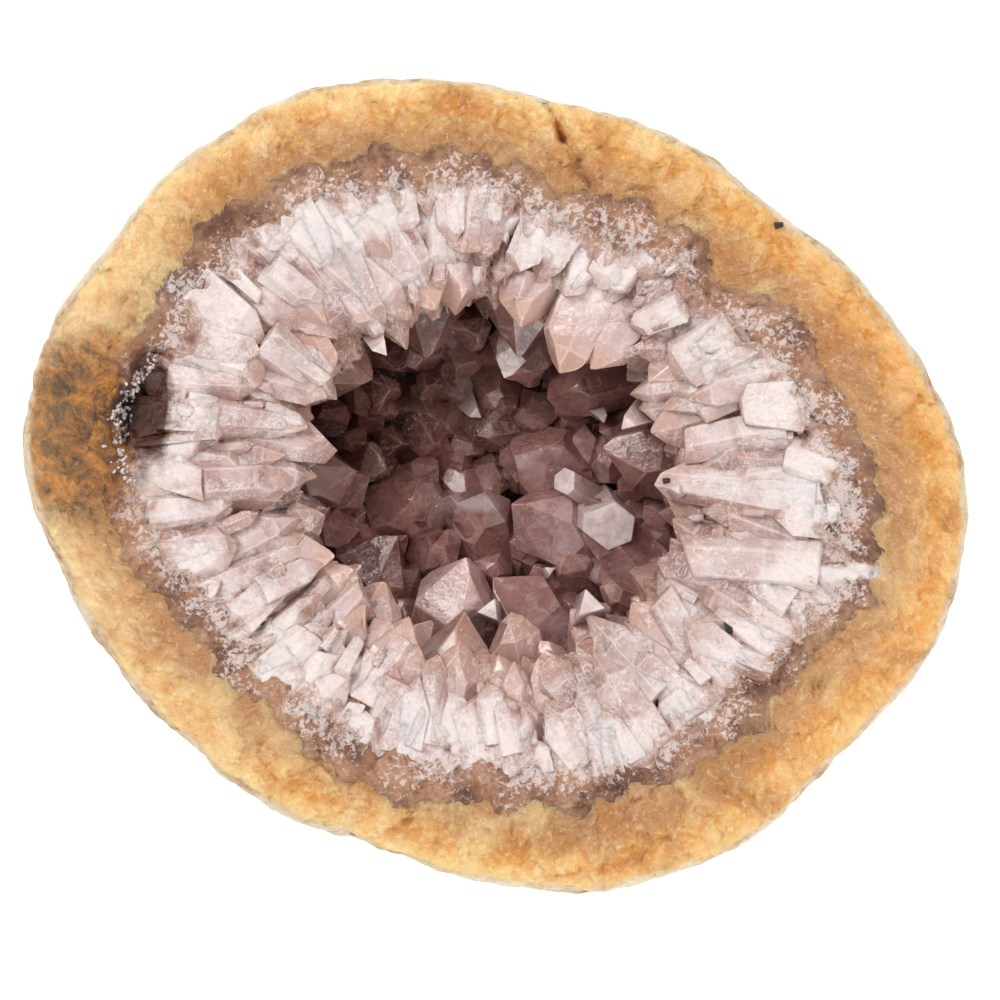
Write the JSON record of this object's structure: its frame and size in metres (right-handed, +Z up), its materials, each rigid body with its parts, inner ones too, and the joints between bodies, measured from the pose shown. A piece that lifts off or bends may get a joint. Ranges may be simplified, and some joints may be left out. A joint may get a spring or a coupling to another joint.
{
  "type": "geode half",
  "caption": "Half of a quartz geode lying face up: an ochre rind and a brown chalcedony band around a hollow lined with pale, pointed quartz crystals.",
  "frame": {"origin": "on the surface that the stone rests on, under the middle of its footprint", "axes": "+Z is up, out of the broken face and the hollow; +X is the way the stone is longest; +Y crosses it"},
  "size_m": [0.0908, 0.0786, 0.036],
  "materials": {
    "ochre_rind": "iron-stained, waxy where broken, knobbly and dusty outside",
    "brown_chalcedony": "translucent, waxy, speckled",
    "sugary_quartz": "granular, frosty, sparkling",
    "pale_quartz": "clear to milky, glossy faces",
    "smoky_quartz": "clear, mauve-brown in the shade of the hollow, glossy faces"
  },
  "bodies": {
    "root": {"rind": "ochre_rind", "chalcedony_band": "brown_chalcedony", "quartz_base": "sugary_quartz", "rim_crystal_01": "pale_quartz", "rim_crystal_02": "pale_quartz", "rim_crystal_03": "pale_quartz", "rim_crystal_04": "pale_quartz", "rim_crystal_05": "pale_quartz", "rim_crystal_06": "pale_quartz", "rim_crystal_07": "pale_quartz", "rim_crystal_08": "pale_quartz", "rim_crystal_09": "pale_quartz", "rim_crystal_10": "pale_quartz", "rim_crystal_11": "pale_quartz", "rim_crystal_12": "pale_quartz", "rim_crystal_13": "pale_quartz", "rim_crystal_14": "pale_quartz", "rim_crystal_15": "pale_quartz", "rim_crystal_16": "pale_quartz", "rim_crystal_17": "pale_quartz", "rim_crystal_18": "pale_quartz", "rim_crystal_19": "pale_quartz", "rim_crystal_20": "pale_quartz", "rim_crystal_21": "pale_quartz", "rim_crystal_22": "pale_quartz", "rim_crystal_23": "pale_quartz", "rim_crystal_24": "pale_quartz", "wall_crystal_01": "pale_quartz", "wall_crystal_02": "pale_quartz", "wall_crystal_03": "pale_quartz", "wall_crystal_04": "pale_quartz", "wall_crystal_05": "pale_quartz", "wall_crystal_06": "pale_quartz", "wall_crystal_07": "pale_quartz", "wall_crystal_08": "pale_quartz", "wall_crystal_09": "pale_quartz", "wall_crystal_10": "pale_quartz", "wall_crystal_11": "pale_quartz", "wall_crystal_12": "pale_quartz", "wall_crystal_13": "pale_quartz", "wall_crystal_14": "pale_quartz", "wall_crystal_15": "pale_quartz", "wall_crystal_16": "pale_quartz", "slope_crystal_01": "smoky_quartz", "slope_crystal_02": "smoky_quartz", "slope_crystal_03": "smoky_quartz", "slope_crystal_04": "smoky_quartz", "slope_crystal_05": "smoky_quartz", "slope_crystal_06": "smoky_quartz", "slope_crystal_07": "smoky_quartz", "slope_crystal_08": "smoky_quartz", "slope_crystal_09": "smoky_quartz", "slope_crystal_10": "smoky_quartz", "floor_crystal_01": "smoky_quartz", "floor_crystal_02": "smoky_quartz", "floor_crystal_03": "smoky_quartz", "floor_crystal_04": "smoky_quartz", "floor_crystal_05": "smoky_quartz", "floor_crystal_06": "smoky_quartz"}
  },
  "joints": []
}
